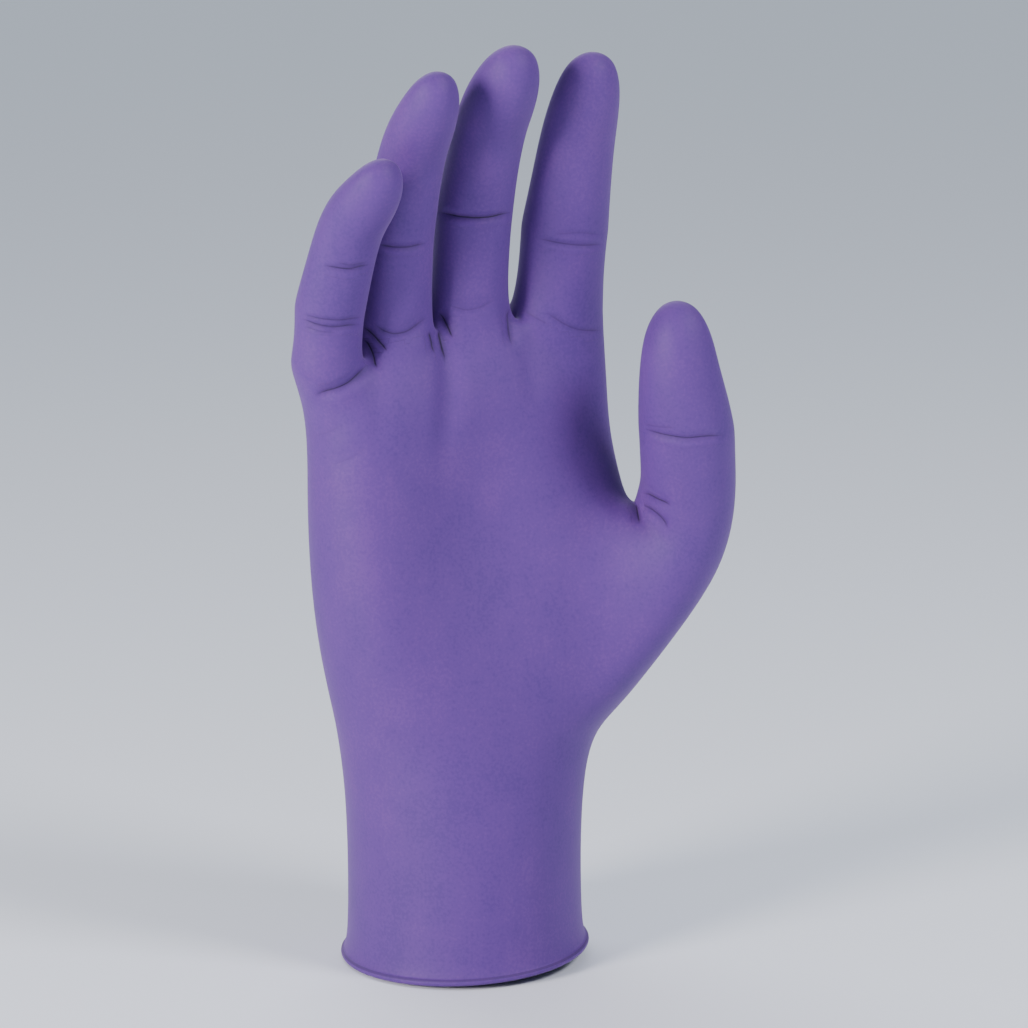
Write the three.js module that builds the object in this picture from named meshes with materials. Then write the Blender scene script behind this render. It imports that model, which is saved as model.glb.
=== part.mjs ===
// A disposable nitrile examination glove, in the shape that it takes on a right hand.
// It is one dipped film with no seam: cuff, palm, four fingers and a thumb, ending at the wrist in a rolled bead.
// Millimetres and degrees. +Z runs from the cuff to the fingertips, +X to the thumb side, and the palm faces -Y.
// The origin is the centre of the opening that the hand goes into.
import * as THREE from "three";

// Driving dimensions
const FILM = 1.0; // wall as modelled; the real film is about 0.15
const BEAD = 2.4; // diameter of the rolled edge
const RIM_TILT = 3; // the rim climbs towards the thumb side by this angle
const CUFF_ACROSS = 57.5;
const CUFF_THROUGH = 57.5;
const CUFF_LENGTH = 55; // rim to wrist
const PALM_LENGTH = 103; // wrist to the highest web, between middle and index finger
const PALM_THICK = 29;
const PALM_MARGIN = 1.5; // the palm is wider than the row of fingers by this on each side
const KNUCKLE_SHIFT = 5.5; // the row of fingers stands this far to the little finger's side of the cuff's middle
const FINGER_LENGTH = 75; // middle finger, web to tip
const FINGER_WIDE = 20;
const FINGER_THICK = 18;
const FINGER_GAP = 2; // clear space between neighbouring fingers at their base
const WEB_DEPTH = 3; // the control points of a web stand this far below the fingers' base line
const THUMB_LENGTH = 88; // from its root inside the palm to its tip
const THUMB_WIDE = 24;
const THUMB_THICK = 23;
const CREASE_DEPTH = 0.9;
const CREASE_WIDTH = 1.1;
const DENT_DEPTH = 3;

// One row for each finger, from the little finger to the index finger. long, wide and thick are shares of the
// finger sizes above, and gap is the share of FINGER_GAP to the next finger. bones are shares of the finger's own
// length: web to middle joint, middle to end joint, end joint to tip. girth is how full the film is along each bone,
// bends are each bone's tilt towards the palm, lean is the whole finger's tilt towards the thumb side, and turn
// swings the direction of the bend that way.
// fore, a share of PALM_THICK, is how far the base stands in front of the palm's middle plane, and drop, a share
// of PALM_LENGTH, is how far it lies below the highest web.
const FINGERS = [
  {
    name: "little", long: 0.8, wide: 0.88, thick: 0.88, gap: 0.45, bones: [0.25, 0.38, 0.37],
    girth: [1, 1.04, 1.08], bends: [12, 25, 46], lean: -4.5, turn: 18, fore: 0.18, drop: 0.085,
  },
  {
    name: "ring", long: 0.965, wide: 0.93, thick: 0.96, gap: 0.6, bones: [0.36, 0.31, 0.33],
    girth: [1, 1, 1], bends: [8, 23, 38], lean: -3, turn: 9, fore: 0.07, drop: 0.03,
  },
  {
    name: "middle", long: 1, wide: 0.95, thick: 1, gap: 1.5, bones: [0.36, 0.31, 0.33],
    girth: [1, 1, 1.08], bends: [6, 22, 40], lean: 1, turn: 0, fore: 0, drop: 0,
  },
  {
    name: "index", long: 0.915, wide: 1.13, thick: 1.04, gap: 0, bones: [0.32, 0.32, 0.36],
    girth: [1, 0.98, 0.92], bends: [8, 15, 24], lean: 2, turn: -4, fore: 0.035, drop: 0,
  },
];

// Sections of every finger. bone and at place a section along the finger; the others are shares of the finger's
// half width and half thickness, on the palm side and on the back.
const FINGER_SECTIONS = [
  { bone: 0, at: 0.2, wide: 0.99, palm: 1.0, back: 1.0 },
  { bone: 0, at: 0.55, wide: 0.94, palm: 1.0, back: 0.94 },
  { bone: 0, at: 0.92, wide: 0.96, palm: 0.98, back: 0.98 },
  { bone: 1, at: 0.0, wide: 0.97, palm: 0.97, back: 0.99 },
  { bone: 1, at: 0.1, wide: 0.96, palm: 0.98, back: 0.98 },
  { bone: 1, at: 0.5, wide: 0.9, palm: 0.96, back: 0.88 },
  { bone: 2, at: 0.0, wide: 0.87, palm: 0.87, back: 0.86 },
  { bone: 2, at: 0.35, wide: 0.85, palm: 0.94, back: 0.74 },
  { bone: 2, at: 0.7, wide: 0.74, palm: 0.82, back: 0.58 },
  { bone: 2, at: 0.92, wide: 0.46, palm: 0.5, back: 0.36 },
];
const FINGER_TIP = { bone: 2, at: 1.03 };

// The thumb. bones are shares of its length; out and fore tilt each bone from +Z towards the thumb side and the
// palm side, and turn swings the side that its pad faces. across, fore and up place its root in the palm.
const THUMB = {
  bones: [0.29, 0.33, 0.38],
  girth: [1, 1, 1],
  out: [39, -12, -9],
  fore: [22, 18, 8],
  turn: [-40, -50, -55],
  root: { across: 0.8, fore: 1.03, up: 0.3 },
};

// Its sections fan out around the web. out tilts each one by itself: 90 stands upright, 0 lies flat.
const THUMB_SECTIONS = [
  { bone: 0, at: 0.5, out: 72, wide: 1.36, palm: 1.25, back: 1.2 },
  { bone: 0, at: 0.95, out: 38, wide: 1.06, palm: 1.12, back: 1.05 },
  { bone: 1, at: 0.4, out: 10, wide: 1.04, palm: 1.02, back: 0.95 },
  { bone: 1, at: 0.85, out: -1, wide: 0.98, palm: 0.95, back: 1.0 },
  { bone: 2, at: 0.0, out: -5, wide: 0.98, palm: 0.93, back: 1.0 },
  { bone: 2, at: 0.1, out: -6, wide: 0.97, palm: 0.95, back: 0.95 },
  { bone: 2, at: 0.45, out: -9, wide: 0.86, palm: 1.0, back: 0.6 },
  { bone: 2, at: 0.78, out: -9, wide: 0.7, palm: 0.84, back: 0.42 },
  { bone: 2, at: 0.95, out: -9, wide: 0.42, palm: 0.46, back: 0.3 },
];
const THUMB_TIP = { bone: 2, at: 1.04 };

// Sections of the cuff and the palm, from the rim upwards. up is a share of the cuff's or the palm's length;
// little and thumb are shares of half the width on those two sides, palm and back of half the thickness. aside is
// the share of the knuckles' shift, ball and heel are how far the ball of the thumb and the little finger's side
// stand out in front, as shares of half the thickness, and slope tips the section up towards the thumb side.
const CUFF_SECTIONS = [
  { up: 0, little: 1.05, thumb: 1.05, palm: 1.05, back: 1.05 },
  { up: 0.06, little: 1.015, thumb: 1.015, palm: 1.015, back: 1.015 },
  { up: 0.4, little: 1.01, thumb: 1.0, palm: 1.0, back: 1.0 },
  { up: 0.75, little: 1.04, thumb: 1.03, palm: 0.96, back: 0.96 },
];
const PALM_SECTIONS = [
  { up: 0.0, aside: 0, little: 0.75, thumb: 0.775, palm: 1.7, back: 1.65, ball: 0, heel: 0, slope: 0 },
  { up: 0.06, aside: 0.05, little: 0.77, thumb: 1.0, palm: 1.6, back: 1.55, ball: 0.1, heel: 0.05, slope: 0 },
  { up: 0.2, aside: 0.2, little: 0.835, thumb: 1.06, palm: 1.3, back: 1.3, ball: 0.5, heel: 0.25, slope: 0 },
  { up: 0.37, aside: 0.4, little: 0.87, thumb: 1.0, palm: 1.08, back: 1.12, ball: 0.6, heel: 0.35, slope: 0 },
  { up: 0.57, aside: 0.65, little: 0.86, thumb: 1.05, palm: 0.95, back: 1.03, ball: 0.4, heel: 0.35, slope: 0 },
  { up: 0.7, aside: 0.82, little: 0.83, thumb: 0.99, palm: 0.92, back: 1.02, ball: 0.15, heel: 0.3, slope: 0.02 },
  { up: 0.83, aside: 0.95, little: 0.83, thumb: 1.0, palm: 0.95, back: 1.0, ball: 0, heel: 0.3, slope: 0.05 },
];
const THUMB_HOLE = { section: 1, rows: 3, column: 6, columns: 3 };
const PALM_SQUARE = 0.82; // 1 is an ellipse; less is squarer
const BALL_ANGLE = 312; // where round the palm the ball of the thumb stands out
const HEEL_ANGLE = 225;
const BULGE_SPREAD = 36;

// Creases in the film on the palm side of a finger, at a bone and a share of it. bow is how much the crease's middle
// sags below its ends, as a share of the half width; reach is how far round it runs, in degrees from its middle.
const CREASES = [
  { on: "little", bone: 1, at: 0, bow: 0.1, reach: 95, deep: 1 },
  { on: "little", bone: 1, at: 0.8, bow: 0.05, reach: 85, deep: 0.8 },
  { on: "ring", bone: 1, at: 0, bow: 0, reach: 85, deep: 0.9 },
  { on: "middle", bone: 1, at: 0, bow: 0.1, reach: 90, deep: 1.2 },
  { on: "index", bone: 1, at: 0, bow: 0.05, reach: 95, deep: 1 },
  { on: "thumb", bone: 2, at: 0, bow: 0.05, reach: 100, deep: 1 },
];

// Soft dents in the palm and the back of the hand, and swellings where deep is negative. across is a share of half
// the palm's width from the cuff's middle, up a share of the palm's length from the wrist; wide and high are their
// half sizes in the same shares, turn leans them towards the thumb side, and deep is a share of DENT_DEPTH.
const DENTS = [
  { side: "palm", across: -0.05, up: 0.55, wide: 0.35, high: 0.22, turn: -12, deep: 0.9 },
  { side: "palm", across: -0.22, up: 0.86, wide: 0.07, high: 0.12, turn: 8, deep: 0.7 },
  { side: "palm", across: -0.66, up: 0.82, wide: 0.06, high: 0.09, turn: 6, deep: 0.5 },
  { side: "palm", across: 0.3, up: 0.88, wide: 0.07, high: 0.08, turn: -6, deep: 0.5 },
  { side: "back", across: -0.66, up: 0.86, wide: 0.08, high: 0.12, turn: 4, deep: 0.5 },
  { side: "back", across: -0.2, up: 0.92, wide: 0.08, high: 0.14, turn: 0, deep: 0.6 },
  { side: "back", across: 0.28, up: 0.92, wide: 0.08, high: 0.14, turn: -4, deep: 0.6 },
];

const COLUMNS = 20; // points around the cuff and the palm
const FINGER_POINTS = 8;
const THUMB_POINTS = 12;
const BEAD_STEPS = 6;
const RUBBER = { color: 0x6a4a9c, roughness: 0.55, metalness: 0 };

const radians = THREE.MathUtils.degToRad;
const mix = THREE.MathUtils.lerp;

// How much larger a ring of control points has to be than the smooth ring that it makes.
const swell = (count) => 6 / (4 + 2 * Math.cos((2 * Math.PI) / count));

const shaped = (value, power) => Math.sign(value) * Math.abs(value) ** power;

// The width of the row of fingers, and where each one stands in it.
const taken = (list) => list.reduce((sum, finger) => sum + finger.wide * FINGER_WIDE + finger.gap * FINGER_GAP, 0);
const knuckleWidth = taken(FINGERS);
const palmHalf = knuckleWidth / 2 + PALM_MARGIN;
const fingerAcross = (index) =>
  taken(FINGERS.slice(0, index)) + (FINGERS[index].wide * FINGER_WIDE) / 2 - knuckleWidth / 2 - KNUCKLE_SHIFT;
const fingerBones = (finger) => finger.bones.map((share) => share * finger.long * FINGER_LENGTH);
const thumbBones = THUMB.bones.map((share) => share * THUMB_LENGTH);

// A value given for each bone, turning into the next bone's over the stretch beside a joint.
const JOINT_SHARE = 0.25;
function alongBones(values, bone, at) {
  const next = Math.min(bone + 1, values.length - 1);
  const last = Math.max(bone - 1, 0);
  if (at > 1 - JOINT_SHARE) return mix(values[bone], values[next], (at - 1 + JOINT_SHARE) / (2 * JOINT_SHARE));
  if (at < JOINT_SHARE) return mix(values[bone], values[last], (JOINT_SHARE - at) / (2 * JOINT_SHARE));
  return values[bone];
}

// The directions at one place of a finger: along it, out of its palm side, and across it.
function frameOf(axis, facing) {
  const palm = facing.clone().addScaledVector(axis, -facing.dot(axis)).normalize();
  return { axis, palm, side: new THREE.Vector3().crossVectors(axis, palm) };
}

function fingerFrame(finger, bone, at) {
  const bend = radians(alongBones(finger.bends, bone, at));
  const lean = radians(finger.lean);
  const turn = radians(finger.turn);
  const straight = new THREE.Vector3(Math.sin(lean), 0, Math.cos(lean));
  const facing = new THREE.Vector3(Math.sin(turn), -Math.cos(turn), 0);
  const { palm } = frameOf(straight, facing);
  const axis = straight.clone().multiplyScalar(Math.cos(bend)).addScaledVector(palm, Math.sin(bend));
  const bent = palm.clone().multiplyScalar(Math.cos(bend)).addScaledVector(straight, -Math.sin(bend));
  return frameOf(axis, bent);
}

function thumbFrame(bone, at, tilt = alongBones(THUMB.out, bone, at)) {
  const out = radians(tilt);
  const fore = radians(alongBones(THUMB.fore, bone, at));
  const turn = radians(alongBones(THUMB.turn, bone, at));
  const axis = new THREE.Vector3(Math.sin(out), -Math.sin(fore) * Math.cos(out), Math.cos(fore) * Math.cos(out));
  return frameOf(axis.normalize(), new THREE.Vector3(Math.sin(turn), -Math.cos(turn), 0));
}

// The point of a finger's centre line at a bone and a share of it, walked from its base in short steps.
const STRIDES = 12;
function walk(base, bones, frameAt, bone, at) {
  const point = base.clone();
  for (let b = 0; b <= bone; b += 1) {
    const share = b === bone ? at : 1;
    for (let step = 0; step < STRIDES; step += 1) {
      const { axis } = frameAt(b, (share * (step + 0.5)) / STRIDES);
      point.addScaledVector(axis, (bones[b] * share) / STRIDES);
    }
  }
  return point;
}

// One ring of control points around a finger, counted round its axis from startAngle.
function ring(centre, frame, half, section, count, startAngle) {
  return Array.from({ length: count }, (_, k) => {
    const angle = radians(startAngle) + (2 * Math.PI * k) / count;
    const deep = half.thick * (Math.sin(angle) > 0 ? section.back : section.palm);
    return centre
      .clone()
      .addScaledVector(frame.side, half.wide * section.wide * Math.cos(angle) * swell(count))
      .addScaledVector(frame.palm, -deep * Math.sin(angle) * swell(count));
  });
}

// A smooth rise around one angle.
function bell(angle, peak) {
  const off = Math.atan2(Math.sin(angle - peak), Math.cos(angle - peak)) / radians(BULGE_SPREAD);
  return Math.exp(-off * off);
}

// A ring of the cuff or the palm. Its first column is the little finger's outer corner on the palm side.
function bodyRing(section, height, halfAcross, halfThrough, square) {
  const first = radians(198);
  return Array.from({ length: COLUMNS }, (_, k) => {
    const angle = first + (2 * Math.PI * k) / COLUMNS;
    const [cos, sin] = [Math.cos(angle), Math.sin(angle)];
    const across = halfAcross * (cos < 0 ? section.little : section.thumb) * shaped(cos, square) * swell(COLUMNS);
    const through = halfThrough * (sin < 0 ? section.palm : section.back) * shaped(sin, square) * swell(COLUMNS);
    const middle = -KNUCKLE_SHIFT * (section.aside ?? 0);
    const ball = (section.ball ?? 0) * bell(angle, radians(BALL_ANGLE));
    const heel = (section.heel ?? 0) * bell(angle, radians(HEEL_ANGLE));
    const front = halfThrough * (ball + heel);
    return new THREE.Vector3(middle + across, through - front, height + (section.slope ?? 0) * across);
  });
}

// Every digit, with a way to find its centre, directions and half sizes at a bone and a share of it.
function makeDigit(name, base, bones, girth, frameAt, size) {
  const place = ({ bone, at, out }) => {
    const full = alongBones(girth, bone, at) / 2;
    const half = { wide: size.wide * full, thick: size.thick * full };
    return { centre: walk(base, bones, frameAt, bone, at), frame: frameAt(bone, at, out), half };
  };
  return { name, place };
}
const digits = FINGERS.map((finger, i) => {
  const up = CUFF_LENGTH + PALM_LENGTH * (1 - finger.drop);
  const base = new THREE.Vector3(fingerAcross(i), -finger.fore * PALM_THICK, up);
  const size = { wide: finger.wide * FINGER_WIDE, thick: finger.thick * FINGER_THICK };
  const frameAt = (bone, at) => fingerFrame(finger, bone, at);
  return makeDigit(finger.name, base, fingerBones(finger), finger.girth, frameAt, size);
});
const thumbRoot = new THREE.Vector3(
  THUMB.root.across * palmHalf,
  (-THUMB.root.fore * PALM_THICK) / 2,
  CUFF_LENGTH + THUMB.root.up * PALM_LENGTH,
);
const thumbSize = { wide: THUMB_WIDE, thick: THUMB_THICK };
digits.push(makeDigit("thumb", thumbRoot, thumbBones, THUMB.girth, thumbFrame, thumbSize));

// The control cage: points, and quads that list four of them counter-clockwise seen from outside.
function makeCage() {
  const points = [];
  const quads = [];
  const add = (list) => list.map((point) => points.push(point) - 1);
  const strip = (low, high) => {
    low.forEach((start, k) => {
      const next = (k + 1) % low.length;
      quads.push([start, low[next], high[next], high[k]]);
    });
  };

  // Cuff and palm
  const rimSlope = Math.tan(radians(RIM_TILT));
  const rows = CUFF_SECTIONS.map((s) => {
    const slope = rimSlope * (1 - s.up) ** 4;
    return add(bodyRing({ ...s, slope }, mix(BEAD, CUFF_LENGTH, s.up), CUFF_ACROSS / 2, CUFF_THROUGH / 2, 1));
  });
  const firstPalm = rows.length;
  PALM_SECTIONS.forEach((s) => {
    const square = mix(1, PALM_SQUARE, Math.min(1, s.up * 3));
    rows.push(add(bodyRing(s, CUFF_LENGTH + s.up * PALM_LENGTH, palmHalf, PALM_THICK / 2, square)));
  });

  // Fingers: the first ring of each shares its corners with its neighbours, which makes the webs.
  const fingerRing = (i, section) => {
    const { centre, frame, half } = digits[i].place(section);
    return ring(centre, frame, half, section, FINGER_POINTS, 225);
  };
  const baseRings = FINGERS.map((_, i) => fingerRing(i, { bone: 0, at: 0, wide: 1.02, palm: 0.98, back: 1.0 }));
  const shared = (i, right, left) => {
    if (i === 0) return baseRings[0][left];
    if (i === FINGERS.length) return baseRings[i - 1][right];
    return baseRings[i - 1][right].clone().lerp(baseRings[i][left], 0.5);
  };
  const webs = Array.from({ length: FINGERS.length + 1 }, (_, i) => {
    const inner = i > 0 && i < FINGERS.length;
    const side = shared(i, 3, 7).clone();
    if (inner) side.z -= WEB_DEPTH;
    return { palm: add([shared(i, 2, 0)])[0], side: add([side])[0], back: add([shared(i, 4, 6)])[0] };
  });
  const middles = FINGERS.map((_, i) => ({ palm: add([baseRings[i][1]])[0], back: add([baseRings[i][5]])[0] }));
  const lowest = FINGERS.map((_, i) => [
    webs[i].palm, middles[i].palm, webs[i + 1].palm, webs[i + 1].side,
    webs[i + 1].back, middles[i].back, webs[i].back, webs[i].side,
  ]);
  const top = [
    ...FINGERS.flatMap((_, i) => [webs[i].palm, middles[i].palm]), webs[4].palm, webs[4].side,
    ...FINGERS.flatMap((_, i) => [webs[4 - i].back, middles[3 - i].back]), webs[0].back, webs[0].side,
  ];
  rows.push(top);

  const bottom = firstPalm + THUMB_HOLE.section;
  const inHole = (row, column) =>
    row >= bottom && row < bottom + THUMB_HOLE.rows &&
    column >= THUMB_HOLE.column && column < THUMB_HOLE.column + THUMB_HOLE.columns;
  rows.slice(1).forEach((high, row) => {
    rows[row].forEach((start, k) => {
      const next = (k + 1) % COLUMNS;
      if (!inHole(row, k)) quads.push([start, rows[row][next], high[next], high[k]]);
    });
  });

  const close = (last, tip) => {
    const [centre] = add([tip]);
    for (let k = 0; k < last.length; k += 2) {
      quads.push([centre, last[k], last[k + 1], last[(k + 2) % last.length]]);
    }
  };
  FINGERS.forEach((_, i) => {
    let low = lowest[i];
    FINGER_SECTIONS.forEach((section) => {
      const high = add(fingerRing(i, section));
      strip(low, high);
      low = high;
    });
    close(low, digits[i].place(FINGER_TIP).centre);
  });

  // Thumb: it grows out of a hole in the palm's thumb side.
  const { column, columns, rows: deep } = THUMB_HOLE;
  const right = column + columns;
  const loop = [];
  for (let k = column; k < right; k += 1) loop.push(rows[bottom][k]);
  for (let r = 0; r < deep; r += 1) loop.push(rows[bottom + r][right]);
  for (let k = right; k > column; k -= 1) loop.push(rows[bottom + deep][k]);
  for (let r = deep; r > 0; r -= 1) loop.push(rows[bottom + r][column]);
  const thumb = digits[FINGERS.length];
  let low = loop;
  THUMB_SECTIONS.forEach((section) => {
    const { centre, frame, half } = thumb.place(section);
    const high = add(ring(centre, frame, half, section, THUMB_POINTS, -45));
    strip(low, high);
    low = high;
  });
  close(low, thumb.place(THUMB_TIP).centre);

  return { points, quads, rim: rows[0] };
}

// The edges of a mesh of quads: the two ends of each, and the quads on it.
function edgesOf(quads) {
  const edges = new Map();
  quads.forEach((quad, face) => {
    quad.forEach((a, k) => {
      const b = quad[(k + 1) % 4];
      const key = a < b ? `${a} ${b}` : `${b} ${a}`;
      if (!edges.has(key)) edges.set(key, { a, b, faces: [] });
      edges.get(key).faces.push(face);
    });
  });
  return edges;
}

const average = (list) =>
  list.reduce((sum, p) => sum.add(p), new THREE.Vector3()).divideScalar(list.length);

// What surrounds each point: the far ends of its edges, the opposite corners of its quads, and its open edges.
function neighbours(points, quads, edges) {
  const around = points.map(() => ({ ends: [], corners: [], open: [] }));
  edges.forEach(({ a, b, faces }) => {
    around[a].ends.push(b);
    around[b].ends.push(a);
    if (faces.length === 1) {
      around[a].open.push(b);
      around[b].open.push(a);
    }
  });
  quads.forEach((quad) => quad.forEach((p, k) => around[p].corners.push(quad[(k + 2) % 4])));
  return around;
}

// One step of Catmull-Clark subdivision.
function subdivide({ points, quads, rim }) {
  const edges = edgesOf(quads);
  const around = neighbours(points, quads, edges);
  const centres = quads.map((quad) => average(quad.map((p) => points[p])));
  const facesAt = points.map(() => []);
  quads.forEach((quad, face) => quad.forEach((p) => facesAt[p].push(face)));
  const moved = points.map((point, p) => {
    const { ends, open } = around[p];
    if (open.length) return point.clone().multiplyScalar(6).add(points[open[0]]).add(points[open[1]]).divideScalar(8);
    const n = ends.length;
    const faceMean = average(facesAt[p].map((f) => centres[f]));
    const edgeMean = average(ends.map((q) => points[q].clone().add(point).divideScalar(2)));
    return faceMean.addScaledVector(edgeMean, 2).addScaledVector(point, n - 3).divideScalar(n);
  });
  const made = [...moved, ...centres];
  const middle = new Map();
  edges.forEach(({ a, b, faces }, key) => {
    const ends = [points[a], points[b]];
    const all = faces.length === 2 ? [...ends, ...faces.map((f) => centres[f])] : ends;
    middle.set(key, made.push(average(all)) - 1);
  });
  const between = (a, b) => middle.get(a < b ? `${a} ${b}` : `${b} ${a}`);
  const finer = quads.flatMap((quad, face) =>
    quad.map((p, k) => [
      p, between(p, quad[(k + 1) % 4]), points.length + face, between(quad[(k + 3) % 4], p),
    ]),
  );
  const finerRim = rim.flatMap((p, k) => [p, between(p, rim[(k + 1) % rim.length])]);
  return { points: made, quads: finer, rim: finerRim };
}

// Moves every point to where endless subdivision would put it.
function toLimit({ points, quads, rim }) {
  const around = neighbours(points, quads, edgesOf(quads));
  const settled = points.map((point, p) => {
    const { ends, corners, open } = around[p];
    if (open.length) return point.clone().multiplyScalar(4).add(points[open[0]]).add(points[open[1]]).divideScalar(6);
    const n = ends.length;
    const sum = point.clone().multiplyScalar(n * n);
    ends.forEach((q) => sum.addScaledVector(points[q], 4));
    corners.forEach((q) => sum.add(points[q]));
    return sum.divideScalar(n * (n + 5));
  });
  return { points: settled, quads, rim };
}

function normalsOf({ points, quads }) {
  const normals = points.map(() => new THREE.Vector3());
  quads.forEach((quad) => {
    const [a, b, c, d] = quad.map((p) => points[p]);
    const across = c.clone().sub(a).cross(d.clone().sub(b));
    quad.forEach((p) => normals[p].add(across));
  });
  return normals.map((normal) => normal.normalize());
}

// How deep the creases press into the film at a point of a digit's palm side.
function creaseDepth(point) {
  let depth = 0;
  CREASES.forEach((crease) => {
    const { centre, frame, half } = digits.find((digit) => digit.name === crease.on).place(crease);
    const from = point.clone().sub(centre);
    const across = from.dot(frame.side) / half.wide;
    const through = from.dot(frame.palm) / half.thick;
    const along = from.dot(frame.axis) + crease.bow * half.wide * (1 - across * across);
    if (Math.abs(along) > 4 * CREASE_WIDTH || Math.hypot(across, through) > 1.4) return;
    const round = Math.abs(Math.atan2(across, through)) / radians(crease.reach);
    const fade = THREE.MathUtils.smoothstep(1 - round, 0, 0.35);
    depth += CREASE_DEPTH * crease.deep * fade * Math.exp(-((along / CREASE_WIDTH) ** 2));
  });
  return depth;
}

// How deep the soft dents press in at a point, by the way its film faces.
function dentDepth(point, normal) {
  let depth = 0;
  DENTS.forEach((dent) => {
    const facing = dent.side === "palm" ? -normal.y : normal.y;
    if (facing <= 0) return;
    const x = point.x - dent.across * palmHalf;
    const z = point.z - CUFF_LENGTH - dent.up * PALM_LENGTH;
    const [cos, sin] = [Math.cos(radians(dent.turn)), Math.sin(radians(dent.turn))];
    const wide = (x * cos - z * sin) / (dent.wide * palmHalf);
    const high = (x * sin + z * cos) / (dent.high * PALM_LENGTH);
    depth += DENT_DEPTH * dent.deep * facing * Math.exp(-wide * wide - high * high);
  });
  return depth;
}

// The glove as one closed surface: outer face, rolled bead, inner face.
function gloveGeometry() {
  const outer = toLimit(subdivide(makeCage()));
  const smooth = normalsOf(outer);
  outer.points.forEach((point, p) => {
    const depth = creaseDepth(point) + dentDepth(point, smooth[p]);
    point.addScaledVector(smooth[p], -depth);
  });
  const normals = normalsOf(outer);
  const count = outer.points.length;
  const points = [...outer.points, ...outer.points.map((p, k) => p.clone().addScaledVector(normals[k], -FILM))];
  const triangles = [];
  const fill = (a, b, c, d) => triangles.push(a, b, c, a, c, d);
  outer.quads.forEach(([a, b, c, d]) => {
    fill(a, b, c, d);
    fill(count + d, count + c, count + b, count + a);
  });

  // The bead rolls from the outer face over the rim to the inner face.
  const down = new THREE.Vector3(0, 0, -1);
  const outward = outer.rim.map((p) => normals[p].clone().setZ(0).normalize());
  let low = outer.rim;
  for (let step = 1; step <= BEAD_STEPS; step += 1) {
    const angle = mix(Math.PI / 2, -Math.PI, step / BEAD_STEPS);
    const next = outer.rim.map((p, k) => {
      const centre = outer.points[p].clone().addScaledVector(outward[k], BEAD / 2 - FILM).addScaledVector(down, BEAD / 2);
      const point = centre
        .addScaledVector(outward[k], (BEAD / 2) * Math.cos(angle))
        .addScaledVector(down, (-BEAD / 2) * Math.sin(angle));
      return points.push(point) - 1;
    });
    low.forEach((start, k) => {
      const after = (k + 1) % low.length;
      fill(start, next[k], next[after], low[after]);
    });
    low = next;
  }
  low.forEach((start, k) => {
    const after = (k + 1) % low.length;
    fill(start, count + outer.rim[k], count + outer.rim[after], low[after]);
  });

  const geometry = new THREE.BufferGeometry();
  geometry.setAttribute("position", new THREE.Float32BufferAttribute(points.flatMap((p) => p.toArray()), 3));
  geometry.setIndex(triangles);
  geometry.computeVertexNormals();
  return geometry;
}

const glove = new THREE.Mesh(gloveGeometry(), new THREE.MeshStandardMaterial(RUBBER));
glove.name = "glove";

const part = new THREE.Group();
part.add(glove);
export default part;
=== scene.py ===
# %% [markdown]
# # A nitrile exam glove
#
# The object is one film of soft violet rubber in the shape that it takes when worn: an open cuff with a rolled edge,
# a hollow palm, four fingers and a thumb. It could be sculpted, or draped as cloth over a form. Here it is worked out
# instead: a coarse cage of rings follows the chain of bones that each finger is built on, subdivision makes it
# smooth, and every crease and pleat of the film is then pressed into it where the photograph shows one.

import math

import bpy
import numpy as np
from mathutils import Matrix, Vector


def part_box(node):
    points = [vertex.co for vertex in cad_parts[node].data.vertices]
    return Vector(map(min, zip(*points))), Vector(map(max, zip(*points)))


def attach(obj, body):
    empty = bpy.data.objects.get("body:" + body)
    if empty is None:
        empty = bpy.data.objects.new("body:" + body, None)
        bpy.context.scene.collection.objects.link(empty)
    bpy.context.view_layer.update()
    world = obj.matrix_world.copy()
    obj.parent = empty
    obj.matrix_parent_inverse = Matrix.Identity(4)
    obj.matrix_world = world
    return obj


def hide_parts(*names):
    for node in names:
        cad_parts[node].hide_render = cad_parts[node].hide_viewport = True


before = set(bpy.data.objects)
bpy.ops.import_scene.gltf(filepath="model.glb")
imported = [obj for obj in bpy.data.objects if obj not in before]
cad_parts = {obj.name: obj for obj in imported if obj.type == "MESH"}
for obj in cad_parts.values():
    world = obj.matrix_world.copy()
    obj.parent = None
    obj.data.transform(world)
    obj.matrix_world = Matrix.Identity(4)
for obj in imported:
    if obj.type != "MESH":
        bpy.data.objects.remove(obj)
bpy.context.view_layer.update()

# %% [markdown]
# ## One unit for the whole lesson
#
# The glove stands 227.4 mm tall in the frame. Dividing its height in the frame by that number gives the length of a
# millimetre, so all sizes below can be read in millimetres and still follow the frame if it is resized.

# %% The length of a millimetre
GLOVE_TALL = 227.361
low_corner, high_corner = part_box("glove")
MM = (high_corner.z - low_corner.z) / GLOVE_TALL
print("one millimetre is", round(MM, 7), "m")

# %% [markdown]
# ## The sizes of the glove
#
# These are the sizes that a glove maker would write down: the former's cuff, palm, fingers and thumb. The tables
# after them hold shares of these sizes. Each finger has its bones, how far each bone bends towards the palm, how
# far it leans, and how full the film is. The thumb's sections fan out around the web beside the index finger.
# All angles are in degrees.

# %% Sizes
FILM = 1.0
BEAD = 1.8
RIM_TILT = 3
CUFF_WIDE = 57.5
CUFF_LENGTH = 55
PALM_LENGTH = 103
PALM_THICK = 29
PALM_MARGIN = 1.5
KNUCKLE_SHIFT = 5.5
FINGER_LENGTH = 75
FINGER_WIDE = 20
FINGER_THICK = 18
FINGER_GAP = 2
WEB_DEPTH = 3
THUMB_LENGTH = 88
THUMB_WIDE = 24
THUMB_THICK = 23
print("flat length of cuff, palm and middle finger:", CUFF_LENGTH + PALM_LENGTH + FINGER_LENGTH, "mm")

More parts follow.
